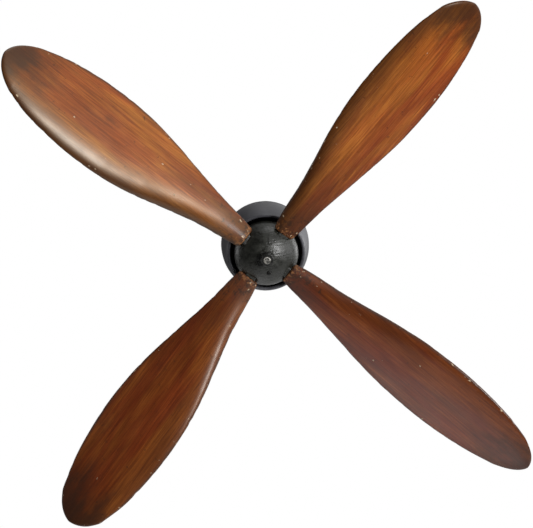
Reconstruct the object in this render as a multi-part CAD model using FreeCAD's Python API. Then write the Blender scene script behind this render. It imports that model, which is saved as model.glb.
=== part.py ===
import FreeCAD, Part
import math
import os

# Four-blade wall propeller. Millimetres, +Z up. The origin is on the hub axis at the wall, and the
# propeller faces -Y, so "depth" below is the distance from the wall, along -Y.
# "Angle" is in degrees, counter-clockwise as seen from the front, from +X.

# Driving dimensions
TIP_RADIUS = 500.0
BLADE_COUNT = 4
FIRST_BLADE_ANGLE = 51.9
BLADE_DEPTH = 80.0          # plane of the blade roots
FORWARD_LEAN = 0.16         # the blades lean forward by this much per mm of radius
LEAN_START = 75.0
WALL_CUP_DEPTH = 59.0
WALL_CUP_RADIUS = 66.8
DOME_RADIUS = 48.6
DOME_APEX_DEPTH = 98.0
DOME_SHOULDER_DEPTH = 66.0  # the dome is half an ellipsoid in front of this depth, and a skirt behind it
DOME_SKIRT_REAR = 52.0
SHELL = 2.5
SHAFT_RADIUS = 9.0
THREAD_RADIUS = 6.0         # M12 front end of the shaft
NUT_FLATS = 19.0            # M12 hexagon nut
RUNNING = 0.05              # radial clearance of the shaft in its bushes
FIT = 0.02                  # radial gap of pieces that sit tight in one another

# Blade stations: radius, half chord to the leading edge, half chord to the trailing edge, thickness
STATIONS = [
    (42.0, 16.7, 16.3, 14.0),
    (58.0, 20.1, 19.5, 14.5),
    (78.0, 23.2, 22.2, 15.2),
    (100.0, 26.4, 25.4, 16.0),
    (125.0, 30.5, 30.1, 16.6),
    (165.0, 40.1, 38.9, 17.0),
    (218.0, 54.0, 51.0, 16.8),
    (271.0, 63.7, 59.7, 16.0),
    (324.0, 66.4, 62.3, 14.8),
    (377.0, 63.4, 59.1, 13.0),
    (429.0, 55.2, 50.0, 10.8),
    (464.0, 44.1, 39.8, 8.6),
]
ROOT_RADIUS = STATIONS[0][0]
PITCH_AT = [(42.0, 7.0), (80.0, 11.0), (120.0, 17.0), (165.0, 22.0), (218.0, 26.5), (286.0, 29.5), (500.0, 30.0)]
FRONT_SHARE = 0.64          # part of the thickness in front of the chord line
LEADING_FULLNESS = 0.3      # how much thicker the leading half is than the trailing half
SECTION_POINTS = 28
TIP_STATIONS = 7
TIP_ROUNDING = 1.6          # exponent of the tip's outline, 2 is an ellipse
TIP_THICKNESS = 0.4         # least thickness of the tip's last stations

# Hand-made blades: each one's error in angle, in pitch, in length and sideways from a true radius
BLADE_ERRORS = [(0.6, -2.2, -3.9, 1.6), (-1.5, 0.4, 4.1, -1.0), (1.3, -0.7, -4.1, -1.6), (-0.4, 2.6, 3.9, 1.1)]

# Wall mount
PLATE_RADIUS = 64.0
PLATE_THICKNESS = 5.0
PLATE_RIM = 16.0
PLATE_WALL = 2.6
WALL_HOLE_RADIUS = 2.75
WALL_HOLE_CIRCLE = 48.0     # radius of the wall-screw circle
HOUSING_FLANGE_RADIUS = 35.0
HOUSING_FLANGE = 6.0
HOUSING_RADIUS = 18.0
HOUSING_FRONT = 56.0
BUSH_RADIUS = 12.0
BUSH_LENGTH = 16.0
BUSH_FLANGE = 2.0
REAR_FLANGE_RADIUS = 13.5
FRONT_FLANGE_RADIUS = 16.0
END_PLAY = 0.1
SHAFT_HEAD_ROOM = 13.0      # depth at which the housing's rear counterbore ends
HOUSING_SCREW_CIRCLE = 28.0
HOUSING_SCREW_ANGLES = (0, 90, 180, 270)
WALL_HOLE_ANGLES = (45, 135, 225, 315)
M5_RADIUS = 2.5
CUP_SCREW_DEPTH = 10.5
M4_RADIUS = 2.0
CUP_SCREW_HEAD = 3.7
DRIVER_SLOT = 0.8

# Hub
HUB_REAR = 60.0
BACKPLATE_THICKNESS = 2.0
HUB_BOSS_RADIUS = 12.0
HUB_BOSS_FRONT = 93.0
HUB_DRUM_RADIUS = 40.0
HUB_DRUM_FRONT = 72.0
SOCKET_WIDTH = 18.0
SOCKET_THICKNESS = 8.4
SOCKET_DEPTH = 81.0
SOCKET_CORNER = 3.0
NOTCH_GAP = 0.4             # between the dome and the sockets and blades that pass through it
DOME_SEAT = 97.0
STUD_RADIUS = 3.0
STUD_INNER = 17.0
STUD_OUTER = 82.0
DOWEL_RADIUS = 1.5
DOWEL_OFFSET = -6.0
DOWEL_INNER = 33.0
DOWEL_OUTER = 54.0
DOME_SCREW_ANGLE = 279.0
DOME_SCREW_CIRCLE = 24.0
DOME_SCREW_REAR = 74.0      # bottom of the screw's hole
DOME_SCREW_SEAT = 92.8
DOME_SCREW_HEAD = 3.4
SCREW_POST = 5.0
LOCK_WASHER = 2.5
NUT_HEIGHT = 10.0
SHAFT_TIP = 113.0

AXIS = FreeCAD.Vector(0, -1, 0)
ORIGIN = FreeCAD.Vector(0, 0, 0)


def polar(radius, angle, depth):
    """Point at a radius, angle and depth about the hub axis."""
    turn = math.radians(angle)
    return FreeCAD.Vector(radius * math.cos(turn), -depth, radius * math.sin(turn))


def rod(radius, rear, front, at_radius=0.0, angle=0.0):
    """Cylinder parallel to the hub axis, between two depths."""
    return Part.makeCylinder(radius, front - rear, polar(at_radius, angle, rear), AXIS)


def ring(inner, outer, rear, front):
    return rod(outer, rear, front).cut(rod(inner, rear - 1, front + 1))


def spoke(radius, inner, outer, angle, depth):
    """Cylinder that points straight out from the hub axis."""
    outward = polar(1.0, angle, 0.0)
    return Part.makeCylinder(radius, outer - inner, polar(inner, angle, depth), outward)


def turned(edges):
    """Solid of revolution about the hub axis, from edges in the plane of +X and -Y."""
    face = Part.Face(Part.Wire(edges))
    return face.revolve(ORIGIN, FreeCAD.Vector(0, 1, 0), 360)


def point(radius, depth):
    return FreeCAD.Vector(radius, -depth, 0)


def line(start, end):
    return Part.LineSegment(point(*start), point(*end)).toShape()


def arc(start, middle, end):
    return Part.Arc(point(*start), point(*middle), point(*end)).toShape()


def hexagon(flats, rear, front):
    """Hexagonal prism about the hub axis."""
    corner = flats / 2 / math.cos(math.radians(30))
    corners = [polar(corner, 60 * k + 15, rear) for k in range(7)]
    face = Part.Face(Part.makePolygon(corners))
    return face.extrude(AXIS * (front - rear))


def fuse_all(shapes):
    whole = shapes[0]
    for shape in shapes[1:]:
        whole = whole.fuse(shape)
    return whole.removeSplitter()


def save(name, shapes):
    """Writes one node: one solid, or a group of separate like solids."""
    solids = shapes if isinstance(shapes, list) else [shapes]
    shape = solids[0] if len(solids) == 1 else Part.makeCompound(solids)
    shape.exportStep(os.path.join("parts", name + ".step"))
    print(name, "valid" if shape.isValid() else "INVALID", len(shape.Solids), round(shape.Volume))


# ---------------------------------------------------------------- wall mount

def back_plate():
    plate = rod(PLATE_RADIUS, 0, PLATE_RIM)
    plate = plate.cut(rod(PLATE_RADIUS - PLATE_WALL, PLATE_THICKNESS, PLATE_RIM + 1))
    for angle in WALL_HOLE_ANGLES:
        plate = plate.cut(rod(WALL_HOLE_RADIUS, -1, PLATE_THICKNESS + 1, WALL_HOLE_CIRCLE, angle))
    for angle in HOUSING_SCREW_ANGLES:
        plate = plate.cut(rod(M5_RADIUS + FIT, 1, PLATE_THICKNESS + 1, HOUSING_SCREW_CIRCLE, angle))
    for screw in cup_screw_bodies(FIT):
        plate = plate.cut(screw)
    return plate


def bearing_housing():
    flange_front = PLATE_THICKNESS + HOUSING_FLANGE
    fillet = 4.0
    slope = fillet * (1 - math.sqrt(0.5))
    head_radius = 14.0
    body = turned([
        line((head_radius, PLATE_THICKNESS), (HOUSING_FLANGE_RADIUS, PLATE_THICKNESS)),
        line((HOUSING_FLANGE_RADIUS, PLATE_THICKNESS), (HOUSING_FLANGE_RADIUS, flange_front)),
        line((HOUSING_FLANGE_RADIUS, flange_front), (HOUSING_RADIUS + fillet, flange_front)),
        arc((HOUSING_RADIUS + fillet, flange_front),
            (HOUSING_RADIUS + slope, flange_front + slope),
            (HOUSING_RADIUS, flange_front + fillet)),
        line((HOUSING_RADIUS, flange_front + fillet), (HOUSING_RADIUS, HOUSING_FRONT)),
        line((HOUSING_RADIUS, HOUSING_FRONT), (BUSH_RADIUS, HOUSING_FRONT)),
        line((BUSH_RADIUS, HOUSING_FRONT), (BUSH_RADIUS, SHAFT_HEAD_ROOM)),
        line((BUSH_RADIUS, SHAFT_HEAD_ROOM), (head_radius, SHAFT_HEAD_ROOM)),
        line((head_radius, SHAFT_HEAD_ROOM), (head_radius, PLATE_THICKNESS)),
    ])
    for angle in HOUSING_SCREW_ANGLES:
        body = body.cut(rod(M5_RADIUS + 0.25, 0, flange_front + 1, HOUSING_SCREW_CIRCLE, angle))
    return body


def housing_screw(angle):
    """M5 socket head screw."""
    seat = PLATE_THICKNESS + HOUSING_FLANGE
    head = rod(4.25, seat, seat + 5.0, HOUSING_SCREW_CIRCLE, angle)
    socket = rod(2.1, seat + 2.5, seat + 6.0, HOUSING_SCREW_CIRCLE, angle)
    shank = rod(M5_RADIUS, 1.5, seat + 1, HOUSING_SCREW_CIRCLE, angle)
    return head.fuse(shank).removeSplitter().cut(socket)


def bush(flange_rear, flange_radius, sleeve_rear):
    """Flanged bronze bush. Its sleeve starts at sleeve_rear, and its flange at flange_rear."""
    sleeve = rod(BUSH_RADIUS - FIT, sleeve_rear, sleeve_rear + BUSH_LENGTH)
    flange = rod(flange_radius, flange_rear, flange_rear + BUSH_FLANGE)
    bore = rod(SHAFT_RADIUS + RUNNING, 0, HOUSING_FRONT + BUSH_FLANGE + 1)
    return sleeve.fuse(flange).removeSplitter().cut(bore)


def cup_outer_radius(depth):
    """Outer radius of the wall cup: widest near the wall, rounding in to the lip."""
    widest_depth = 10.0
    bow = 150.0
    return WALL_CUP_RADIUS - bow + math.sqrt(bow ** 2 - (depth - widest_depth) ** 2)


def wall_cup():
    """Spun bowl with a rolled lip in front and a small rolled bead at the wall."""
    wall = 2.0
    bead = 1.2
    lip = 2.7
    lip_depth = WALL_CUP_DEPTH - lip
    middle = WALL_CUP_DEPTH / 2
    outer = [(cup_outer_radius(depth), depth) for depth in (0, middle, lip_depth)]
    inner = [(radius - wall, depth) for radius, depth in outer]
    shell = turned([
        line(inner[0], outer[0]),
        arc(outer[0], outer[1], outer[2]),
        line(outer[2], inner[2]),
        arc(inner[2], inner[1], inner[0]),
    ])
    lip_radius = outer[2][0] - lip
    wall_bead = Part.makeTorus(outer[0][0] - 0.3, bead, point(0, bead), AXIS)
    inside = rod(inner[0][0], -1, 3 * bead)
    rolled_lip = Part.makeTorus(lip_radius, lip, point(0, lip_depth), AXIS)
    cup = fuse_all([shell, wall_bead.cut(inside), rolled_lip])
    for screw in cup_screw_bodies(FIT):
        cup = cup.cut(screw)
    return cup


def cup_screw_bodies(gap):
    """Radial countersunk M4 screws behind the blades. gap makes their holes."""
    outside = cup_outer_radius(CUP_SCREW_DEPTH)
    head_height = 2.0
    bodies = []
    for blade in range(BLADE_COUNT):
        angle = blade_angle(blade)
        outward = polar(1.0, angle, 0.0)
        cone = Part.makeCone(M4_RADIUS + gap, CUP_SCREW_HEAD + gap, head_height,
                             polar(outside - head_height, angle, CUP_SCREW_DEPTH), outward)
        shank = spoke(M4_RADIUS + gap, PLATE_RADIUS - PLATE_WALL - 1.0, outside - head_height,
                      angle, CUP_SCREW_DEPTH)
        if gap:
            cone = cone.fuse(spoke(CUP_SCREW_HEAD + gap, outside, outside + 2.0, angle, CUP_SCREW_DEPTH))
        bodies.append(cone.fuse(shank).removeSplitter())
    return bodies


def cup_screws():
    """The screws, each with a cross slot in its head."""
    outside = cup_outer_radius(CUP_SCREW_DEPTH)
    length = 4.4
    screws = []
    for blade, body in enumerate(cup_screw_bodies(0.0)):
        corner = FreeCAD.Vector(outside - 0.9, -CUP_SCREW_DEPTH - DRIVER_SLOT / 2, -length / 2)
        slot = Part.makeBox(2.0, DRIVER_SLOT, length, corner)
        cross = slot.copy()
        cross.rotate(FreeCAD.Vector(0, -CUP_SCREW_DEPTH, 0), FreeCAD.Vector(1, 0, 0), 90)
        cutter = slot.fuse(cross)
        cutter.rotate(ORIGIN, AXIS, blade_angle(blade))
        screws.append(body.cut(cutter))
    return screws


# ---------------------------------------------------------------- shaft and hub

def shaft():
    """Headed shaft: head, journal, shoulder at the hub's rear, and a thread with a rounded end."""
    head_rear = 6.5
    head_radius = 12.5
    head = rod(head_radius, head_rear, SHAFT_HEAD_ROOM - BUSH_FLANGE - END_PLAY)
    journal = rod(SHAFT_RADIUS, head_rear, HUB_REAR)
    thread = rod(THREAD_RADIUS, head_rear, SHAFT_TIP)
    body = fuse_all([head, journal, thread])
    chamfer = 1.2
    tip = [edge for edge in body.Edges if abs(edge.BoundBox.YMin + SHAFT_TIP) < 0.01
           and edge.BoundBox.YLength < 0.01]
    return body.makeChamfer(chamfer, tip)


def thrust_washer():
    front_bush_front = HOUSING_FRONT + BUSH_FLANGE
    return ring(SHAFT_RADIUS + 2 * RUNNING, FRONT_FLANGE_RADIUS, front_bush_front + END_PLAY, HUB_REAR)


def socket_block(blade, grow=0.0):
    """Arm of the hub core that carries one blade: a flat bar turned to the blade's pitch."""
    width = SOCKET_WIDTH + 2 * grow
    thickness = SOCKET_THICKNESS + 2 * grow
    bar = Part.makeBox(ROOT_RADIUS + grow, thickness, width,
                       FreeCAD.Vector(0, -thickness / 2, -width / 2))
    long_edges = [edge for edge in bar.Edges if edge.BoundBox.XLength > 1]
    bar = bar.makeFillet(SOCKET_CORNER + grow, long_edges)
    bar.rotate(ORIGIN, FreeCAD.Vector(1, 0, 0), pitch_at(ROOT_RADIUS))
    bar.translate(FreeCAD.Vector(0, -SOCKET_DEPTH, 0))
    bar.rotate(ORIGIN, AXIS, blade_angle(blade))
    return bar


def hub_core():
    rear = HUB_REAR + BACKPLATE_THICKNESS
    boss = rod(HUB_BOSS_RADIUS, rear, HUB_BOSS_FRONT)
    drum = rod(HUB_DRUM_RADIUS, rear, HUB_DRUM_FRONT)
    screw_post = rod(SCREW_POST, rear, DOME_SCREW_SEAT - 0.4, DOME_SCREW_CIRCLE, DOME_SCREW_ANGLE)
    screw_post = screw_post.common(dome_envelope(SHELL + 0.3))
    arms = [socket_block(blade) for blade in range(BLADE_COUNT)]
    core = fuse_all([drum, boss, screw_post] + arms)
    core = core.cut(rod(THREAD_RADIUS + FIT, rear - 1, HUB_BOSS_FRONT + 1))
    for blade in range(BLADE_COUNT):
        angle = blade_angle(blade)
        core = core.cut(spoke(STUD_RADIUS + FIT, STUD_INNER - 1, ROOT_RADIUS + 1, angle, SOCKET_DEPTH))
        core = core.cut(dowel(blade, FIT))
    for screw in backplate_screw_bodies(FIT):
        core = core.cut(screw)
    core = core.cut(rod(M4_RADIUS + FIT, DOME_SCREW_REAR, DOME_APEX_DEPTH,
                        DOME_SCREW_CIRCLE, DOME_SCREW_ANGLE))
    return core


def dome_envelope(inset):
    """Solid inside the dome's outside surface, moved in by inset: a skirt and half an ellipsoid."""
    radius = DOME_RADIUS - inset
    apex = DOME_APEX_DEPTH - inset
    rear = DOME_SKIRT_REAR - inset
    oval = Part.Ellipse(point(radius, DOME_SHOULDER_DEPTH), point(0, apex), point(0, DOME_SHOULDER_DEPTH))
    return turned([
        line((0, rear), (radius, rear)),
        line((radius, rear), (radius, DOME_SHOULDER_DEPTH)),
        Part.ArcOfEllipse(oval, 0, math.pi / 2).toShape(),
        line((0, apex), (0, rear)),
    ])


def dome():
    """Spinner shell with a flat seat for the nut, notched round the sockets and the blades."""
    far = DOME_APEX_DEPTH + 10
    thread_room = 0.3
    screw_room = 0.2
    head_recess = DOME_SCREW_HEAD + 0.3
    shell = dome_envelope(0).cut(dome_envelope(SHELL))
    seat_boss = rod(HUB_BOSS_RADIUS, HUB_BOSS_FRONT, far).common(dome_envelope(0.5))
    screw_boss = rod(SCREW_POST, DOME_SHOULDER_DEPTH, far, DOME_SCREW_CIRCLE, DOME_SCREW_ANGLE)
    screw_boss = screw_boss.common(dome_envelope(0.2)).cut(dome_envelope(SHELL + 0.25))
    shell = fuse_all([shell, seat_boss, screw_boss])
    shell = shell.cut(rod(HUB_BOSS_RADIUS + 1, DOME_SEAT, far))
    shell = shell.cut(rod(THREAD_RADIUS + thread_room, 0, far))
    shell = shell.cut(rod(M4_RADIUS + screw_room, 0, far, DOME_SCREW_CIRCLE, DOME_SCREW_ANGLE))
    shell = shell.cut(rod(head_recess, DOME_SCREW_SEAT, far, DOME_SCREW_CIRCLE, DOME_SCREW_ANGLE))
    for blade in range(BLADE_COUNT):
        shell = shell.cut(socket_block(blade, NOTCH_GAP))
        shell = shell.cut(blade_solid(blade, NOTCH_GAP, ROOT_RADIUS - NOTCH_GAP, 5))
    return max(shell.Solids, key=lambda solid: solid.Volume)


def dome_screw():
    """M4 pan-head screw with a straight slot."""
    head_front = DOME_SCREW_SEAT + 2.2
    shank = rod(M4_RADIUS, DOME_SCREW_REAR + 1, head_front, DOME_SCREW_CIRCLE, DOME_SCREW_ANGLE)
    head = rod(DOME_SCREW_HEAD, DOME_SCREW_SEAT, head_front, DOME_SCREW_CIRCLE, DOME_SCREW_ANGLE)
    rim = [edge for edge in head.Edges if abs(edge.BoundBox.YMin + head_front) < 0.01
           and edge.BoundBox.YLength < 0.01]
    head = head.makeFillet(1.2, rim)
    centre = polar(DOME_SCREW_CIRCLE, DOME_SCREW_ANGLE, 0)
    length = 8.0
    corner = FreeCAD.Vector(centre.x - length / 2, -head_front - 1, centre.z - DRIVER_SLOT / 2)
    slot = Part.makeBox(length, 2.0, DRIVER_SLOT, corner)
    return head.fuse(shank).removeSplitter().cut(slot)


def spinner_backplate():
    front = HUB_REAR + BACKPLATE_THICKNESS
    plate = ring(THREAD_RADIUS + FIT, DOME_RADIUS - SHELL - 0.6, HUB_REAR, front)
    for screw in backplate_screw_bodies(FIT):
        plate = plate.cut(screw)
    return plate


def backplate_screw_bodies(gap):
    """Flush countersunk M4 screws from the rear, between the blades."""
    circle = 32.0
    head_radius = 3.6
    head_height = 1.8
    screw_front = 70.0
    bodies = []
    for number in range(BLADE_COUNT):
        angle = FIRST_BLADE_ANGLE + 45.0 + 360.0 * number / BLADE_COUNT
        cone = Part.makeCone(head_radius + gap, M4_RADIUS + gap, head_height,
                             polar(circle, angle, HUB_REAR), AXIS)
        shank = rod(M4_RADIUS + gap, HUB_REAR + 1.5, screw_front, circle, angle)
        bodies.append(cone.fuse(shank).removeSplitter())
    return bodies


def lock_washer():
    """Split spring washer."""
    washer = ring(THREAD_RADIUS + 0.2, 10.4, DOME_SEAT, DOME_SEAT + LOCK_WASHER)
    gap = 1.6
    split = Part.makeBox(8.0, 8.0, gap, FreeCAD.Vector(4.0, -DOME_SEAT - 6.0, -gap / 2))
    split.rotate(ORIGIN, AXIS, 200)
    return washer.cut(split)


def front_nut():
    """M12 nut with its front corners chamfered."""
    rear = DOME_SEAT + LOCK_WASHER
    front = rear + NUT_HEIGHT
    nut = hexagon(NUT_FLATS, rear, front)
    height = 13.0
    spread = 22.0
    rounding = Part.makeCone(NUT_FLATS / 2 + spread, NUT_FLATS / 2 - 0.3, height,
                             polar(0, 0, front - height), AXIS)
    return nut.common(rounding).cut(rod(THREAD_RADIUS + FIT, rear - 1, front + 1))


# ---------------------------------------------------------------- blades

def blade_angle(blade):
    return FIRST_BLADE_ANGLE + 360.0 * blade / BLADE_COUNT + BLADE_ERRORS[blade][0]


def pitch_at(radius):
    """Nominal pitch at a radius, straight between its given points."""
    for (inner, low), (outer, high) in zip(PITCH_AT, PITCH_AT[1:]):
        if radius <= outer:
            return low + (high - low) * (radius - inner) / (outer - inner)
    return PITCH_AT[-1][1]


def lean_at(radius):
    """How far the blade's middle stands in front of its root plane."""
    softening = 20.0
    past = radius - LEAN_START
    return FORWARD_LEAN * (past + math.sqrt(past ** 2 + softening ** 2)) / 2


def stations_to_tip(tip):
    """The given stations, and then stations that round the tip off."""
    last_radius, leading, trailing, thickness = STATIONS[-1]
    inner_radius, inner_leading, inner_trailing, _ = STATIONS[-2]
    stations = list(STATIONS)
    reach = tip - last_radius
    narrowing = (inner_leading + inner_trailing - leading - trailing) / (last_radius - inner_radius)
    slope = narrowing / (leading + trailing)
    for k in range(1, TIP_STATIONS + 1):
        share = math.sin(math.radians(88.0 * k / TIP_STATIONS))
        outline = (1 - share ** TIP_ROUNDING) ** (1 / TIP_ROUNDING)
        outline = outline * (1 - slope * reach * share * (1 - share))
        stations.append((last_radius + reach * share, leading * outline, trailing * outline,
                         max(thickness * outline ** 0.6, TIP_THICKNESS)))
    return stations


def section(station, pitch_error, grow):
    """Closed section of a blade that lies along +X: full leading edge, crowned front, flatter back."""
    radius, leading, trailing, thickness = station
    half = (leading + trailing) / 2 + grow
    middle = (leading - trailing) / 2
    pitch = math.radians(pitch_at(radius) + pitch_error)
    depth = BLADE_DEPTH + lean_at(radius)
    points = []
    for k in range(SECTION_POINTS):
        turn = 2 * math.pi * k / SECTION_POINTS
        side = FRONT_SHARE if math.sin(turn) > 0 else 1 - FRONT_SHARE
        along = middle + half * math.cos(turn)
        rise = (thickness * side + grow) * math.sin(turn) * (1 + LEADING_FULLNESS * math.cos(turn))
        tangential = along * math.cos(pitch) - rise * math.sin(pitch)
        forward = along * math.sin(pitch) + rise * math.cos(pitch)
        points.append(FreeCAD.Vector(radius, -depth - forward, tangential))
    curve = Part.BSplineCurve()
    curve.interpolate(points, True)
    return Part.Wire([curve.toShape()])


def blade_solid(blade, grow=0.0, root=ROOT_RADIUS, count=None):
    """Blade lofted through its stations. grow, root and count make the notch for it in the dome."""
    _, pitch_error, length_error, side_error = BLADE_ERRORS[blade]
    stations = stations_to_tip(TIP_RADIUS + length_error)[:count]
    stations[0] = (root,) + stations[0][1:]
    sections = [section(station, pitch_error, grow) for station in stations]
    solid = Part.makeLoft(sections, True, False)
    solid.translate(FreeCAD.Vector(0, 0, side_error))
    solid.rotate(ORIGIN, AXIS, blade_angle(blade))
    return solid


def dowel(blade, gap=0.0):
    """Pin beside the stud that sets a blade's pitch."""
    pin = Part.makeCylinder(DOWEL_RADIUS + gap, DOWEL_OUTER - DOWEL_INNER,
                            FreeCAD.Vector(DOWEL_INNER, 0, DOWEL_OFFSET), FreeCAD.Vector(1, 0, 0))
    pin.rotate(ORIGIN, FreeCAD.Vector(1, 0, 0), pitch_at(ROOT_RADIUS))
    pin.translate(FreeCAD.Vector(0, -SOCKET_DEPTH, 0))
    pin.rotate(ORIGIN, AXIS, blade_angle(blade))
    return pin


def stud(blade, gap=0.0):
    return spoke(STUD_RADIUS + gap, STUD_INNER, STUD_OUTER + gap, blade_angle(blade), SOCKET_DEPTH)


def blade(number):
    return blade_solid(number).cut(stud(number, FIT)).cut(dowel(number, FIT))


def build():
    save("back_plate", back_plate())
    save("bearing_housing", bearing_housing())
    save("housing_screws", [housing_screw(angle) for angle in HOUSING_SCREW_ANGLES])
    rear_flange = SHAFT_HEAD_ROOM - BUSH_FLANGE
    save("rear_bush", bush(rear_flange, REAR_FLANGE_RADIUS, rear_flange))
    save("front_bush", bush(HOUSING_FRONT, FRONT_FLANGE_RADIUS, HOUSING_FRONT + BUSH_FLANGE - BUSH_LENGTH))
    save("wall_cup", wall_cup())
    save("cup_screws", cup_screws())
    save("shaft", shaft())
    save("thrust_washer", thrust_washer())
    save("spinner_backplate", spinner_backplate())
    save("backplate_screws", backplate_screw_bodies(0.0))
    save("hub_core", hub_core())
    save("dome", dome())
    save("dome_screw", dome_screw())
    save("lock_washer", lock_washer())
    save("front_nut", front_nut())
    save("blade_studs", [stud(number) for number in range(BLADE_COUNT)])
    save("blade_dowels", [dowel(number) for number in range(BLADE_COUNT)])
    for number in range(BLADE_COUNT):
        save("blade_%d" % (number + 1), blade(number))


os.makedirs("parts", exist_ok=True)
build()
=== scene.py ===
import math

import bmesh
import bpy
import numpy as np
from mathutils import Matrix, Vector


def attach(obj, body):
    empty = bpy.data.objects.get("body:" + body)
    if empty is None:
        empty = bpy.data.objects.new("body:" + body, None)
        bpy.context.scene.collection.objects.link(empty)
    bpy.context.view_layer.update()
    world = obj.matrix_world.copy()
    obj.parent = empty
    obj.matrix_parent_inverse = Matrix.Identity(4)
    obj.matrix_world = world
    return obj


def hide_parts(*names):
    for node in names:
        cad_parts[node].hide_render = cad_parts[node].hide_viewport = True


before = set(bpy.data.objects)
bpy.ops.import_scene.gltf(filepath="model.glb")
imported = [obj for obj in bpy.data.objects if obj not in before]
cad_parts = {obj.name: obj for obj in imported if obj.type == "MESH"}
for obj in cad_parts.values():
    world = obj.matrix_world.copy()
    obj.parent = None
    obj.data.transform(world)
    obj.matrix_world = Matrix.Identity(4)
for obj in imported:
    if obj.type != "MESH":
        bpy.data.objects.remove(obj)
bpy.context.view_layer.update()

# Four-blade wall propeller. Metres, in the frame of the CAD model: the origin is on the hub axis at the
# wall, the propeller faces -Y and +Z is up. "Depth" is the distance from the wall, along -Y.

MM = 0.001
BLADE_COUNT = 4
FIRST_BLADE_ANGLE = 51.9
TIP_RADIUS = 500.0
BLADE_DEPTH = 80.0
FORWARD_LEAN = 0.16
LEAN_START = 75.0
LEAN_SOFTENING = 20.0
FRONT_SHARE = 0.64
LEADING_FULLNESS = 0.3
TIP_ROUNDING = 1.6
ROOT_ROUNDING = 3.0

# The blade's stations in millimetres: radius, half chords to the leading and trailing edge, thickness
STATIONS = np.array([
    (42.0, 16.7, 16.3, 14.0),
    (58.0, 20.1, 19.5, 14.5),
    (78.0, 23.2, 22.2, 15.2),
    (100.0, 26.4, 25.4, 16.0),
    (125.0, 30.5, 30.1, 16.6),
    (165.0, 40.1, 38.9, 17.0),
    (218.0, 54.0, 51.0, 16.8),
    (271.0, 63.7, 59.7, 16.0),
    (324.0, 66.4, 62.3, 14.8),
    (377.0, 63.4, 59.1, 13.0),
    (429.0, 55.2, 50.0, 10.8),
    (464.0, 44.1, 39.8, 8.6),
])

# Radius in millimetres and the blade's pitch there in degrees
PITCH_AT = np.array([
    (42.0, 7.0),
    (80.0, 11.0),
    (120.0, 17.0),
    (165.0, 22.0),
    (218.0, 26.5),
    (286.0, 29.5),
    (500.0, 30.0),
])

# Each blade's error in angle and pitch in degrees, and in length and sideways in millimetres, as in the
# CAD model
BLADE_ERRORS = [
    (0.6, -2.2, -3.9, 1.6),
    (-1.5, 0.4, 4.1, -1.0),
    (1.3, -0.7, -4.1, -1.6),
    (-0.4, 2.6, 3.9, 1.1),
]

# The blade mesh: insets of the root's end face, steps round the root's edge, and where the last ring stops
# short of the tip, in millimetres
ROOT_FACE_INSETS = (9.0, 6.5, 4.5)
ROOT_EDGE_STEPS = 8
TIP_STOP = 0.02

# Hand carving in millimetres: mean depth taken off, height of the waves, and the dents along each edge
CARVED_DEPTH = 0.12
WAVE_HEIGHT = 0.05
WAVE_COUNT = 7
DENT_COUNT = 22
DENT_WIDTHS = (2.2, 6.0)
DENT_DEPTHS = (0.1, 0.6)
DENT_REACH = 0.16

# How each blade was stained and varnished: brightness, redness, darkening at the root, darkening along the
# leading edge (partly dirt, partly painted shade where the leading shoulder turns from the light), gloss
BLADE_STAINS_AND_SHADE = [
    (0.86, 0.2, 0.7, 0.75, 0.15),
    (1.02, 0.0, 0.45, 0.85, 0.5),
    (0.60, 0.5, 0.1, 0.35, 0.45),
    (0.50, 0.85, 0.15, 0.3, 0.34),
]

# Tint of the old varnish's reflections on the least red wood. It is paler on redder blades
AMBER = (1.0, 0.86, 0.66)

REDDISH_WOOD = (0.27, 0.062, 0.011)
GOLDEN_WOOD = (0.35, 0.122, 0.018)
# Dark soot brown, also used for the painted shade along the leading edges
SOOT_AND_SHADE = (0.030, 0.012, 0.006)
RUBBED_WOOD = (0.26, 0.11, 0.04)
PALE_CHIP = (0.50, 0.38, 0.25)
DOME_BLACK = (0.0155, 0.016, 0.0125)
# The cup's black is lightened well above the dome's: its own dark paint plus a painted sheen of reflected
# light
CUP_BLACK_AND_SHEEN = (0.052, 0.052, 0.060)
# The nut's black is darker than the dome's: its own black paint, darkened further as painted shade on its
# unlit facets
NUT_BLACK_AND_SHADE = (0.006, 0.006, 0.005)
STEEL = (0.52, 0.52, 0.53)
BRONZE = (0.5, 0.33, 0.16)

# Distance from the wall in metres beyond which the shaft's end is rubbed bare
BARE_SHAFT_END = 0.1125


# ---------------------------------------------------------------- node helpers

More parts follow.
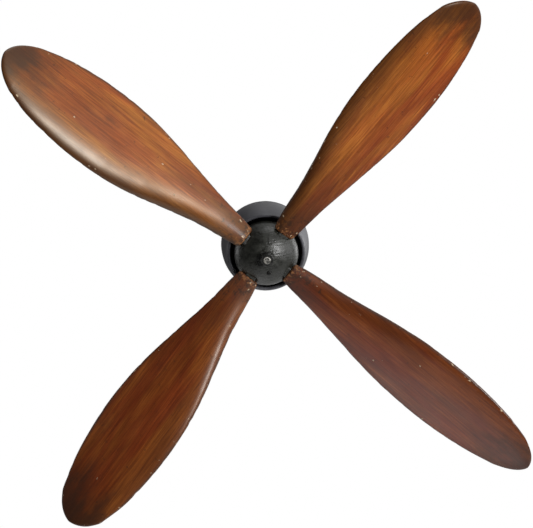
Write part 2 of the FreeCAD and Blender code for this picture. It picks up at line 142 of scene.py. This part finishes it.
class Nodes:
    """A short way to write a material's node tree."""

    def __init__(self, name, coordinates=None):
        self.material = bpy.data.materials.new(name)
        self.material.use_nodes = True
        self.tree = self.material.node_tree
        self.shader = next(n for n in self.tree.nodes if n.type == "BSDF_PRINCIPLED")
        if coordinates:
            self.coordinates = self.add("ShaderNodeAttribute", attribute_name=coordinates).outputs["Vector"]
        else:
            self.coordinates = self.add("ShaderNodeTexCoord").outputs["Object"]

    def add(self, kind, **settings):
        node = self.tree.nodes.new(kind)
        for key, value in settings.items():
            setattr(node, key, value)
        return node

    def put(self, socket, value):
        """Links value into socket if it is another node's output, or sets it as a constant."""
        if isinstance(value, bpy.types.NodeSocket):
            self.tree.links.new(value, socket)
        else:
            socket.default_value = value

    def math(self, operation, first, second=0.0, clamp=False):
        node = self.add("ShaderNodeMath", operation=operation, use_clamp=clamp)
        self.put(node.inputs[0], first)
        self.put(node.inputs[1], second)
        return node.outputs[0]

    def ramp(self, value, low, high, start=0.0, end=1.0):
        """Smooth step of value from start at low to end at high."""
        node = self.add("ShaderNodeMapRange", interpolation_type="SMOOTHSTEP")
        for socket, number in zip(node.inputs, (value, low, high, start, end)):
            self.put(socket, number)
        return node.outputs[0]

    def colours(self, value, stops):
        node = self.add("ShaderNodeValToRGB")
        elements = node.color_ramp.elements
        while len(elements) < len(stops):
            elements.new(0.5)
        for element, (place, colour) in zip(elements, stops):
            element.position = place
            element.color = (*colour, 1)
        self.put(node.inputs[0], value)
        return node.outputs[0]

    def mix(self, share, first, second, kind="MIX"):
        node = self.add("ShaderNodeMix", data_type="RGBA", blend_type=kind)
        for socket, value in ((node.inputs[0], share), (node.inputs[6], first), (node.inputs[7], second)):
            self.put(socket, (*value, 1) if isinstance(value, tuple) else value)
        return node.outputs[2]

    def place(self, scale, shift=(0, 0, 0)):
        """The piece's own coordinates, scaled per axis."""
        node = self.add("ShaderNodeMapping")
        self.put(node.inputs["Vector"], self.coordinates)
        node.inputs["Scale"].default_value = scale
        node.inputs["Location"].default_value = shift
        return node.outputs[0]

    def noise(self, vector, scale=1.0, detail=4.0, rough=0.55, bend=0.0):
        node = self.add("ShaderNodeTexNoise")
        self.put(node.inputs["Vector"], vector)
        node.inputs["Scale"].default_value = scale
        node.inputs["Detail"].default_value = detail
        node.inputs["Roughness"].default_value = rough
        node.inputs["Distortion"].default_value = bend
        return node.outputs["Fac"]

    def attribute(self, name):
        return self.add("ShaderNodeAttribute", attribute_name=name).outputs["Fac"]

    def bump(self, height, depth, strength=1.0, below=None):
        node = self.add("ShaderNodeBump")
        node.inputs["Strength"].default_value = strength
        node.inputs["Distance"].default_value = depth
        self.put(node.inputs["Height"], height)
        if below is not None:
            self.put(node.inputs["Normal"], below)
        return node.outputs[0]

    def finish(self, **inputs):
        """Sets the shader's inputs, with _ for a space in their names."""
        for key, value in inputs.items():
            if isinstance(value, tuple):
                value = (*value, 1)
            self.put(self.shader.inputs[key.replace("_", " ")], value)
        return self.material


# ---------------------------------------------------------------- materials

def wood(number):
    """Stained and varnished wood. The grain coordinates run along the blade in X and across it in Z."""
    bright, red, dark_root, dark_lead_and_shade, gloss = BLADE_STAINS_AND_SHADE[number]
    n = Nodes("wood_blade_%d" % (number + 1), "grain")
    shift = (7.3 * number, 3.1 * number, 1.7 * number)
    span = n.attribute("span")
    rim = n.attribute("rim")
    lead = n.attribute("lead")

    broad = n.noise(n.place((6, 10, 24), shift), detail=3, bend=0.5)
    patch = n.noise(n.place((7, 20, 46), shift), detail=4, rough=0.5, bend=0.4)
    streak = n.noise(n.place((5, 60, 330), shift), detail=5, rough=0.62, bend=0.2)
    fine = n.noise(n.place((14, 120, 1000), shift), detail=3, rough=0.6)

    def stain(colour):
        r, g, b = colour
        return (r * bright * (1 + 0.1 * red), g * bright * (1 - 0.3 * red), b * bright * (1 - 0.15 * red))

    varnish = tuple(c + (1 - c) * red for c in AMBER)
    # The wood turns more golden towards the leading edge
    golden_share = n.math("ADD", patch, n.math("MULTIPLY", lead, 0.3))
    colour = n.mix(n.ramp(golden_share, 0.38, 0.76), stain(REDDISH_WOOD), stain(GOLDEN_WOOD))
    lines = n.colours(n.ramp(streak, 0.3, 0.72), [
        (0.0, (0.8, 0.74, 0.7)),
        (0.5, (1.0, 1.0, 1.0)),
        (1.0, (1.18, 1.22, 1.25)),
    ])
    colour = n.mix(1.0, colour, lines, "MULTIPLY")
    pores = n.colours(n.ramp(fine, 0.34, 0.6), [(0.0, (0.7, 0.64, 0.58)), (1.0, (1.1, 1.1, 1.1))])
    colour = n.mix(1.0, colour, pores, "MULTIPLY")
    pale = n.noise(n.place((3.5, 60, 420), shift), detail=4, rough=0.6, bend=0.1)
    threads = n.colours(n.ramp(pale, 0.56, 0.68), [(0.0, (1.0, 1.0, 1.0)), (1.0, (1.3, 1.45, 1.5))])
    colour = n.mix(1.0, colour, threads, "MULTIPLY")
    tone = n.colours(n.ramp(broad, 0.3, 0.7), [(0.0, (0.78, 0.72, 0.68)), (1.0, (1.08, 1.06, 1.04))])
    colour = n.mix(1.0, colour, tone, "MULTIPLY")

    smudge = n.noise(n.place((14, 14, 34), shift), detail=5, rough=0.65)
    ragged = n.math("MULTIPLY", n.math("SUBTRACT", smudge, 0.5), 0.4)
    edge_dirt = n.ramp(n.math("ADD", rim, ragged), 0.62, 1.0, 0.0, 0.8)
    # Darker towards the leading edge: partly dirt, partly painted shade where the leading shoulder turns
    # away from the light
    lead_dirt_and_shade = n.ramp(n.math("ADD", lead, ragged), 0.3, 1.0, 0.0, dark_lead_and_shade)
    tip_dirt = n.ramp(n.math("ADD", span, ragged), 0.78, 0.98, 0.0, 0.85)
    root_dirt = n.ramp(n.math("SUBTRACT", span, ragged), 0.2, -0.08, 0.0, 0.7)
    side_dirt_and_shade = n.math("MAXIMUM", edge_dirt, lead_dirt_and_shade)
    end_dirt = n.math("MAXIMUM", tip_dirt, root_dirt)
    dirt_and_shade = n.math("MAXIMUM", side_dirt_and_shade, end_dirt)
    dirt_and_shade = n.math("MAXIMUM", dirt_and_shade, n.ramp(smudge, 0.6, 0.78, 0.0, 0.4))
    colour = n.mix(dirt_and_shade, colour, SOOT_AND_SHADE)
    colour = n.mix(n.ramp(n.math("ADD", span, ragged), 0.42, 0.0, 0.0, dark_root), colour, SOOT_AND_SHADE)

    root = n.ramp(n.math("ADD", span, n.math("MULTIPLY", ragged, 0.3)), 0.16, 0.0)
    worn = n.math("MAXIMUM", rim, root)
    blotches = n.noise(n.place((120, 120, 120), shift), detail=5, rough=0.7)
    blotched = n.math("ADD", blotches, n.math("MULTIPLY", root, 0.16))
    colour = n.mix(n.ramp(blotched, 0.62, 0.72, 0.0, 0.75), colour, SOOT_AND_SHADE)
    crumbs = n.noise(n.place((260, 260, 260), shift), detail=4, rough=0.7)
    crumbled = n.math("ADD", crumbs, n.math("MULTIPLY", n.ramp(span, 0.05, 0.0), 0.2))
    colour = n.mix(n.ramp(crumbled, 0.68, 0.76, 0.0, 0.8), colour, RUBBED_WOOD)
    chips = paint_chips(n, shift, worn, 0.45, 170.0)
    colour = n.mix(chips, colour, PALE_CHIP)

    rough = n.math("ADD", n.ramp(smudge, 0.35, 0.7, 0.30, 0.38), n.math("MULTIPLY", chips, 0.3))
    rough = n.math("ADD", rough, n.ramp(span, 0.16, 0.0, 0.0, 0.4))
    height = n.math("ADD", n.math("MULTIPLY", fine, 0.35), n.math("MULTIPLY", streak, 0.65))
    normal = n.bump(height, 0.00006, 0.4)
    normal = n.bump(n.math("SUBTRACT", 1.0, chips), 0.0003, 0.7, normal)
    return n.finish(Base_Color=colour, Roughness=rough, Normal=normal, Specular_IOR_Level=gloss,
                    Specular_Tint=varnish, Coat_Weight=gloss / 4, Coat_Roughness=0.22)


def paint_chips(n, shift, near_edge, start, scale):
    """Small ragged flakes, rare up to near_edge = start and then more and more of them."""
    spots = n.add("ShaderNodeTexVoronoi", feature="F1")
    n.put(spots.inputs["Vector"], n.place((0.55, 1, 1), shift))
    spots.inputs["Scale"].default_value = scale
    spots.inputs["Randomness"].default_value = 1.0
    pick = n.add("ShaderNodeSeparateColor")
    n.put(pick.inputs[0], spots.outputs["Color"])
    ragged = n.noise(n.place((0.6, 1, 1), shift), scale=520.0, detail=3)
    size = n.math("MULTIPLY", pick.outputs[1], 0.2)
    size = n.math("ADD", size, n.math("MULTIPLY", n.math("SUBTRACT", ragged, 0.5), 0.8))
    spot = n.ramp(n.math("SUBTRACT", size, spots.outputs["Distance"]), -0.03, 0.03)
    chance = n.ramp(near_edge, start, 1.0, 0.02, 0.6)
    kept = n.math("LESS_THAN", pick.outputs[0], chance)
    return n.math("MULTIPLY", spot, kept)


def black_paint(name, tint, rough, grit, worn_at=None, wear=1.0, bare_end=None, mottling=1.0):
    """Old black paint on iron, gritty and uneven in gloss. It is rubbed to pale metal where the mesh's
    worn_at attribute is high, and beyond bare_end from the wall."""
    n = Nodes(name)
    coarse = n.noise(n.place((1, 1, 1)), scale=150.0, detail=5, rough=0.6)
    fine = n.noise(n.place((1, 1, 1)), scale=620.0, detail=4, rough=0.65)
    patch = n.noise(n.place((1, 1, 1)), scale=22.0, detail=3, rough=0.5, bend=0.6)
    dark = tuple((1 - 0.55 * mottling) * c for c in tint)
    light = tuple((1 + 0.7 * mottling) * c for c in tint)
    mottle = n.math("ADD", n.math("MULTIPLY", patch, 0.5), n.math("MULTIPLY", coarse, 0.5))
    colour = n.colours(n.ramp(mottle, 0.34, 0.66), [(0.0, dark), (0.55, tint), (1.0, light)])
    dust = n.ramp(fine, 0.55, 0.75, 0.0, 0.35 * mottling)
    colour = n.mix(dust, colour, tuple(3.2 * c for c in tint))
    roughness = n.ramp(coarse, 0.3, 0.7, rough - 0.09 * mottling, rough + 0.12 * mottling)
    bare = None
    if worn_at:
        ragged = n.noise(n.place((1, 1, 1)), scale=330.0, detail=5, rough=0.7)
        ragged = n.math("MULTIPLY", n.math("SUBTRACT", ragged, 0.5), 1.5)
        edge = n.math("ADD", n.attribute(worn_at), ragged)
        if bare_end:
            split = n.add("ShaderNodeSeparateXYZ")
            n.put(split.inputs[0], n.coordinates)
            end = n.ramp(split.outputs[1], -bare_end + 0.0004, -bare_end, 0.0, 1.0)
            edge = n.math("ADD", edge, end)
        bare = n.ramp(edge, 0.98, 1.12, 0.0, wear)
        metal = n.colours(n.ramp(coarse, 0.4, 0.62), [
            (0.0, (0.05, 0.047, 0.042)),
            (1.0, (0.5, 0.48, 0.43)),
        ])
        colour = n.mix(bare, colour, metal)
    height = n.math("ADD", n.math("MULTIPLY", coarse, 0.6), n.math("MULTIPLY", fine, 0.4))
    normal = n.bump(height, grit, 0.8)
    if bare is not None:
        normal = n.bump(n.math("SUBTRACT", 1.0, bare), 0.0002, 0.6, normal)
    return n.finish(Base_Color=colour, Roughness=roughness, Normal=normal, Specular_IOR_Level=0.5)


def machined(name, colour, rough):
    """Turned metal with fine tool marks and a little tarnish."""
    n = Nodes(name)
    marks = n.noise(n.place((40, 2600, 40)), detail=3, rough=0.6)
    tarnish = n.noise(n.place((1, 1, 1)), scale=160.0, detail=5, rough=0.6)
    dull = tuple(0.4 * c for c in colour)
    shade = n.colours(n.ramp(tarnish, 0.35, 0.7), [(0.0, dull), (1.0, colour)])
    roughness = n.ramp(tarnish, 0.3, 0.7, rough + 0.2, rough)
    normal = n.bump(marks, 0.00003, 0.5)
    return n.finish(Base_Color=shade, Roughness=roughness, Normal=normal, Metallic=1.0)


# ---------------------------------------------------------------- blades

def through(xs, ys, x):
    """Smooth curve through points, with the tangents of a Catmull-Rom spline."""
    slopes = np.gradient(ys, xs)
    k = np.clip(np.searchsorted(xs, x) - 1, 0, len(xs) - 2)
    width = xs[k + 1] - xs[k]
    t = (x - xs[k]) / width
    start = (2 * t ** 3 - 3 * t ** 2 + 1) * ys[k] + (t ** 3 - 2 * t ** 2 + t) * width * slopes[k]
    end = (3 * t ** 2 - 2 * t ** 3) * ys[k + 1] + (t ** 3 - t ** 2) * width * slopes[k + 1]
    return start + end


def station_at(radius, tip):
    """Half chords and thickness at a radius, rounded off beyond the last station."""
    last, inner = STATIONS[-1], STATIONS[-2]
    if radius <= last[0]:
        return [float(through(STATIONS[:, 0], STATIONS[:, c], radius)) for c in (1, 2, 3)]
    reach = tip - last[0]
    share = min((radius - last[0]) / reach, 1.0)
    outline = (1 - share ** TIP_ROUNDING) ** (1 / TIP_ROUNDING)
    slope = (inner[1] + inner[2] - last[1] - last[2]) / (last[0] - inner[0]) / (last[1] + last[2])
    outline *= 1 - slope * reach * share * (1 - share)
    return [last[1] * outline, last[2] * outline, last[3] * outline ** 0.6]


def lean_at(radius):
    """How far the blade's middle has leaned forward of its root's depth at a radius."""
    past = radius - LEAN_START
    return FORWARD_LEAN * (past + math.sqrt(past ** 2 + LEAN_SOFTENING ** 2)) / 2


def blade_ring(radius, tip, pitch_error, inset, count):
    """One closed section of a blade, inset from its full size: its points, and how far each of them lies
    towards the leading edge (1) or the trailing edge (-1)."""
    leading, trailing, thickness = station_at(radius, tip)
    half = max((leading + trailing) / 2 - inset, 0.05)
    middle = (leading - trailing) / 2
    pitch = math.radians(np.interp(radius, PITCH_AT[:, 0], PITCH_AT[:, 1]) + pitch_error)
    turn = np.linspace(0, 2 * np.pi, count, endpoint=False)
    share = np.where(np.sin(turn) > 0, FRONT_SHARE, 1 - FRONT_SHARE)
    bulge = np.maximum(thickness * share - inset, 0.05)
    rise = bulge * np.sin(turn) * (1 + LEADING_FULLNESS * np.cos(turn))
    along = middle + half * np.cos(turn)
    depth = BLADE_DEPTH + lean_at(radius)
    across = along * math.cos(pitch) - rise * math.sin(pitch)
    forward = along * math.sin(pitch) + rise * math.cos(pitch)
    points = np.stack([np.full(count, radius), -depth - forward, across], axis=1)
    return points, np.cos(turn)


def blade_mesh(number, rings=300, count=112):
    """Closed blade mesh. Its points carry span (0 root to 1 tip), rim (1 at either edge), lead (1 at the
    leading edge) and grain, their own place in a blade that points along X."""
    angle_error, pitch_error, length_error, side_error = BLADE_ERRORS[number]
    root, tip = STATIONS[0][0], TIP_RADIUS + length_error
    rng = np.random.default_rng(40 + number)
    rows = []
    for inset in ROOT_FACE_INSETS:
        rows.append((root, inset))
    for step in range(ROOT_EDGE_STEPS + 1):
        turn = math.radians(90 * step / ROOT_EDGE_STEPS)
        rows.append((root + ROOT_ROUNDING * (1 - math.cos(turn)), ROOT_ROUNDING * (1 - math.sin(turn))))
    body = np.sin(np.linspace(0.02, 1.0, rings) * math.pi / 2)
    first = root + ROOT_ROUNDING
    rows += [(first + (tip - TIP_STOP - first) * b, 0.0) for b in body]
    verts, span, rim, lead = [], [], [], []
    for radius, inset in rows:
        points, chord = blade_ring(radius, tip, pitch_error, inset, count)
        verts.append(points)
        span.append(np.full(count, (radius - root) / (tip - root)))
        rim.append(np.abs(chord) ** 4)
        lead.append(np.clip(chord, 0, 1))
    verts = np.concatenate(verts)
    span = np.concatenate(span)
    rim = np.concatenate(rim)
    lead = np.concatenate(lead)
    verts = carve(verts, len(rows), count, rng)
    grain = verts * MM
    turn = math.radians(FIRST_BLADE_ANGLE + 360 * number / BLADE_COUNT + angle_error)
    across = verts[:, 2] + side_error
    placed = np.stack([verts[:, 0] * math.cos(turn) - across * math.sin(turn), verts[:, 1],
                       verts[:, 0] * math.sin(turn) + across * math.cos(turn)], axis=1) * MM
    faces = []
    for i in range(len(rows) - 1):
        a, b = i * count, (i + 1) * count
        faces += [(a + j, b + j, b + (j + 1) % count, a + (j + 1) % count) for j in range(count)]
    last = (len(rows) - 1) * count
    faces.append(tuple(range(count)))
    faces.append(tuple(last + j for j in reversed(range(count))))
    mesh = bpy.data.meshes.new("blade_%d_wood" % (number + 1))
    mesh.from_pydata(placed.tolist(), [], faces)
    for name, values in (("span", span), ("rim", rim), ("lead", lead)):
        mesh.attributes.new(name, "FLOAT", "POINT").data.foreach_set("value", values.astype(np.float32))
    mesh.attributes.new("grain", "FLOAT_VECTOR", "POINT").data.foreach_set("vector", grain.ravel())
    tidy_normals(mesh)
    return mesh


def carve(verts, rows, count, rng):
    """Hand-carved unevenness: shallow waves over the faces and small dents along both edges."""
    grid = verts.reshape(rows, count, 3).copy()
    middle = grid.mean(axis=1, keepdims=True)
    outward = grid - middle
    length = np.linalg.norm(outward, axis=2, keepdims=True)
    outward = outward / np.maximum(length, 0.01)
    radius = grid[:, :, 0]
    across = grid[:, :, 2]
    wave = np.zeros((rows, count))
    for _ in range(WAVE_COUNT):
        along_scale, across_scale = rng.uniform(0.02, 0.09), rng.uniform(0.03, 0.12)
        start = rng.uniform(0, 2 * math.pi, 2)
        wave += np.sin(radius * along_scale + start[0]) * np.sin(across * across_scale + start[1])
    inward = CARVED_DEPTH + WAVE_HEIGHT * wave
    turn = np.linspace(0, 2 * math.pi, count, endpoint=False)
    for edge in (0.0, math.pi):
        away = np.minimum(abs(turn - edge), 2 * math.pi - abs(turn - edge))
        near = np.exp(-(away / DENT_REACH) ** 2)
        for _ in range(DENT_COUNT):
            at = rng.uniform(60, 490)
            width, depth = rng.uniform(*DENT_WIDTHS), rng.uniform(*DENT_DEPTHS)
            inward += depth * np.exp(-((radius - at) / width) ** 2) * near[None, :]
    keep = np.clip((length[:, :, 0] - 1.0) / 8.0, 0, 1)
    grid -= outward * (np.maximum(inward, 0) * keep)[:, :, None]
    return grid.reshape(-1, 3)


def tidy_normals(mesh):
    """Turns all faces outwards and shades the mesh smooth."""
    work = bmesh.new()
    work.from_mesh(mesh)
    bmesh.ops.recalc_face_normals(work, faces=work.faces)
    work.to_mesh(mesh)
    work.free()
    mesh.polygons.foreach_set("use_smooth", [True] * len(mesh.polygons))
    mesh.update()


def make_blade(number):
    piece = bpy.data.objects.new("blade_%d_wood" % (number + 1), blade_mesh(number))
    bpy.context.scene.collection.objects.link(piece)
    piece.data.materials.append(wood(number))
    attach(piece, "propeller")
    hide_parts("blade_%d" % (number + 1))


# ---------------------------------------------------------------- hub and wall cup

def softened(node, grain, passes, bumps, seed):
    """A copy of a CAD node as a fine even mesh with rounded edges and a slightly uneven skin.
    Its points carry wear, which is high on outside edges."""
    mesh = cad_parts[node].data.copy()
    source = bpy.data.objects.new(node + "_source", mesh)
    bpy.context.scene.collection.objects.link(source)
    weld = source.modifiers.new("weld", "WELD")
    weld.merge_threshold = 1e-6
    remesh = source.modifiers.new("remesh", "REMESH")
    remesh.mode = "VOXEL"
    remesh.voxel_size = grain
    relax = source.modifiers.new("relax", "SMOOTH")
    relax.factor = 0.5
    relax.iterations = passes
    evaluated = source.evaluated_get(bpy.context.evaluated_depsgraph_get())
    fine = bpy.data.meshes.new_from_object(evaluated)
    bpy.data.objects.remove(source)
    bpy.data.meshes.remove(mesh)
    count = len(fine.vertices)
    points = np.empty(count * 3)
    normals = np.empty(count * 3)
    fine.vertices.foreach_get("co", points)
    fine.vertices.foreach_get("normal", normals)
    points, normals = points.reshape(-1, 3), normals.reshape(-1, 3)
    edges = np.empty(len(fine.edges) * 2, int)
    fine.edges.foreach_get("vertices", edges)
    edges = edges.reshape(-1, 2)
    wear = convexity(points, normals, edges, grain)
    skin = unevenness(points, seed)
    points = points - normals * (bumps * (0.5 + 0.5 * skin))[:, None]
    fine.vertices.foreach_set("co", points.ravel())
    fine.attributes.new("wear", "FLOAT", "POINT").data.foreach_set("value", wear.astype(np.float32))
    fine.materials.clear()
    fine.polygons.foreach_set("material_index", [0] * len(fine.polygons))
    fine.polygons.foreach_set("use_smooth", [True] * len(fine.polygons))
    fine.update()
    return fine


def convexity(points, normals, edges, grain):
    """0 on flat and hollow places, 1 on sharp outside edges, spread over a few points."""
    a, b = edges[:, 0], edges[:, 1]
    step = points[b] - points[a]
    length = np.linalg.norm(step, axis=1) + 1e-9
    bend = (normals[b] - normals[a])
    along = (bend * step).sum(axis=1) / length ** 2
    total = np.bincount(a, along, len(points)) + np.bincount(b, along, len(points))
    degree = np.bincount(a, minlength=len(points)) + np.bincount(b, minlength=len(points))
    value = total / np.maximum(degree, 1)
    for _ in range(3):
        spread = np.bincount(a, value[b], len(points)) + np.bincount(b, value[a], len(points))
        value = 0.5 * value + 0.5 * spread / np.maximum(degree, 1)
    return np.clip(value * grain * 3.2, 0, 1)


def unevenness(points, seed):
    """Smooth lumps from a few crossed waves, between -1 and 1."""
    rng = np.random.default_rng(seed)
    total = np.zeros(len(points))
    for size in (24, 15, 9, 9, 6, 6):
        direction = rng.normal(size=3)
        direction /= np.linalg.norm(direction)
        other = rng.normal(size=3)
        other /= np.linalg.norm(other)
        wave = 2 * math.pi / (size * MM)
        start = rng.uniform(0, 2 * math.pi, 2)
        total += np.sin(points @ direction * wave + start[0]) * np.sin(points @ other * wave + start[1])
    return np.clip(total / 2.5, -1, 1)


def make_softened(node, body, slot, material, grain, passes, bumps, seed):
    piece = bpy.data.objects.new(node + "_skin", softened(node, grain, passes, bumps, seed))
    bpy.context.scene.collection.objects.link(piece)
    piece.data.materials.append(material)
    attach(piece, body)
    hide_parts(node)


def give_material(node, material):
    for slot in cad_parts[node].material_slots:
        slot.material = material


# ---------------------------------------------------------------- camera, light and floor

# Where the camera stands, seen from the hub, and what it aims at. Lengths are in metres
CAMERA_LEFT = math.radians(1.8)
CAMERA_UP = math.radians(13.3)
CAMERA_DISTANCE = 5.12
FRAME_WIDTH_AT_HUB = 0.8027
AIM_BELOW_HUB = 0.0125
AIM_LEFT_OF_HUB = 0.0001
HUB = Vector((0, -BLADE_DEPTH * MM, 0))

# Name, direction from the hub, distance from it, width and height, and power in watts
LIGHTS = [
    ("key", (0.50, -0.86, 0.17), 2.6, (0.5, 0.6), 46),
    ("side", (0.93, -0.34, 0.14), 2.4, (1.2, 1.2), 12),
    ("rim", (0.80, 0.50, 0.05), 2.4, (1.0, 1.6), 17),
    ("top", (0.15, -0.1, 0.98), 2.4, (1.4, 0.8), 10),
    ("left_rim", (-0.9, 0.35, 0.0), 2.4, (0.8, 1.6), 10),
    ("low", (-0.15, -0.14, -0.97), 0.86, (0.5, 0.3), 0.5),
]

# The light of the surroundings: the way it comes from, where it fades in, and its strength outside and
# inside that range
BRIGHT_SIDE = (0.75, 0.2, 0.5)
FADE = (0.0, 0.6)
DIM_STRENGTH = 0.07
BRIGHT_STRENGTH = 0.7

FLOOR_RADIUS = 1.3
FLOOR_PLACE = (0, -0.05, -0.95)


def make_camera():
    left, up = CAMERA_LEFT, CAMERA_UP
    right = Vector((math.cos(left), -math.sin(left) * math.cos(up), math.sin(left) * math.sin(up)))
    above = Vector((0, math.sin(up), math.cos(up)))
    back = right.cross(above)
    data = bpy.data.cameras.new("camera")
    data.sensor_width = 36.0
    data.lens = data.sensor_width * CAMERA_DISTANCE / FRAME_WIDTH_AT_HUB
    data.dof.use_dof = False
    camera = bpy.data.objects.new("camera", data)
    aim = HUB - above * AIM_BELOW_HUB - right * AIM_LEFT_OF_HUB
    camera.matrix_world = Matrix.Translation(aim + back * CAMERA_DISTANCE) @ Matrix(
        (right, above, back)).transposed().to_4x4()
    bpy.context.scene.collection.objects.link(camera)
    bpy.context.scene.camera = camera


def soft_light(name, toward, distance, size, power):
    """Area light at a distance from the hub in a direction, facing it."""
    data = bpy.data.lights.new(name, "AREA")
    data.shape = "RECTANGLE"
    data.size, data.size_y = size
    data.energy = power
    light = bpy.data.objects.new(name, data)
    light.visible_camera = False
    direction = Vector(toward).normalized()
    light.location = HUB + direction * distance
    light.rotation_mode = "QUATERNION"
    light.rotation_quaternion = direction.to_track_quat("Z", "Y")
    bpy.context.scene.collection.objects.link(light)


def make_world():
    """Plain white to the eye. As light it is a soft dome, bright on the upper right and dim elsewhere."""
    world = bpy.data.worlds.new("studio")
    bpy.context.scene.world = world
    world.use_nodes = True
    tree = world.node_tree
    tree.nodes.clear()
    out = tree.nodes.new("ShaderNodeOutputWorld")
    place = tree.nodes.new("ShaderNodeTexCoord")
    toward = tree.nodes.new("ShaderNodeVectorMath")
    toward.operation = "DOT_PRODUCT"
    toward.inputs[1].default_value = BRIGHT_SIDE
    tree.links.new(place.outputs["Generated"], toward.inputs[0])
    shade = tree.nodes.new("ShaderNodeMapRange")
    shade.interpolation_type = "SMOOTHSTEP"
    for socket, number in zip(list(shade.inputs)[1:5], (*FADE, DIM_STRENGTH, BRIGHT_STRENGTH)):
        socket.default_value = number
    tree.links.new(toward.outputs["Value"], shade.inputs[0])
    lit = tree.nodes.new("ShaderNodeBackground")
    tree.links.new(shade.outputs[0], lit.inputs["Strength"])
    plain = tree.nodes.new("ShaderNodeBackground")
    plain.inputs["Strength"].default_value = 1.0
    rays = tree.nodes.new("ShaderNodeLightPath")
    mix = tree.nodes.new("ShaderNodeMixShader")
    tree.links.new(rays.outputs["Is Camera Ray"], mix.inputs[0])
    tree.links.new(lit.outputs[0], mix.inputs[1])
    tree.links.new(plain.outputs[0], mix.inputs[2])
    tree.links.new(mix.outputs[0], out.inputs["Surface"])
    for node in (lit, plain):
        node.inputs["Color"].default_value = (1, 1, 1, 1)


def make_floor():
    bpy.ops.mesh.primitive_circle_add(
        vertices=96, radius=FLOOR_RADIUS, fill_type="NGON", location=FLOOR_PLACE)
    floor = bpy.context.object
    floor.name = "floor"
    n = Nodes("floor")
    mottle = n.noise(n.place((1, 1, 1)), scale=3.0)
    pale = n.colours(mottle, [(0.3, (0.78, 0.78, 0.78)), (0.7, (0.82, 0.82, 0.82))])
    floor.data.materials.append(n.finish(Base_Color=pale, Roughness=0.8))


bpy.context.scene.view_settings.view_transform = "Standard"
make_camera()
for light in LIGHTS:
    soft_light(*light)
make_world()
make_floor()

for blade in range(BLADE_COUNT):
    make_blade(blade)

dome_paint = black_paint("dome_paint", DOME_BLACK, 0.34, 0.0007, "wear")
socket_paint = black_paint("socket_paint", DOME_BLACK, 0.5, 0.0006, "wear")
# The cup's lightened black carries a painted sheen
cup_paint_and_sheen = black_paint("cup_paint_and_sheen", CUP_BLACK_AND_SHEEN, 0.34, 0.00012, "wear", 0.7, mottling=0.4)
# Darkened black: painted shade on the nut's facets
nut_paint_and_shade = black_paint("nut_paint_and_shade", NUT_BLACK_AND_SHADE, 0.36, 0.0003, "wear")
bolt_paint = black_paint("bolt_paint", DOME_BLACK, 0.4, 0.0008, "wear", 1.0, BARE_SHAFT_END)
plain_paint = black_paint("plain_paint", CUP_BLACK_AND_SHEEN, 0.45, 0.0002, mottling=0.5)
steel = machined("steel", STEEL, 0.3)
bronze = machined("bronze", BRONZE, 0.35)

# Node, body, slot, material, size of the fine mesh, smoothing passes, height of the bumps, seed
for piece in [
    ("dome", "propeller", "hub_black", dome_paint, 0.0005, 12, 0.0002, 3),
    ("hub_core", "propeller", "hub_black", socket_paint, 0.0005, 2, 0.0001, 4),
    ("wall_cup", "wall_mount", "cup_black", cup_paint_and_sheen, 0.0006, 10, 0.00005, 5),
    ("front_nut", "propeller", "nut_black", nut_paint_and_shade, 0.00025, 2, 0.0001, 6),
    ("lock_washer", "propeller", "nut_black", nut_paint_and_shade, 0.00025, 1, 0.00005, 7),
    ("dome_screw", "propeller", "nut_black", nut_paint_and_shade, 0.00015, 1, 0.00003, 8),
    ("shaft", "propeller", "nut_black", bolt_paint, 0.00035, 2, 0.00005, 9),
]:
    make_softened(*piece)

for name in ("back_plate", "bearing_housing", "spinner_backplate", "cup_screws"):
    give_material(name, plain_paint)
for name in ("housing_screws", "thrust_washer", "backplate_screws", "blade_studs", "blade_dowels"):
    give_material(name, steel)
for name in ("rear_bush", "front_bush"):
    give_material(name, bronze)
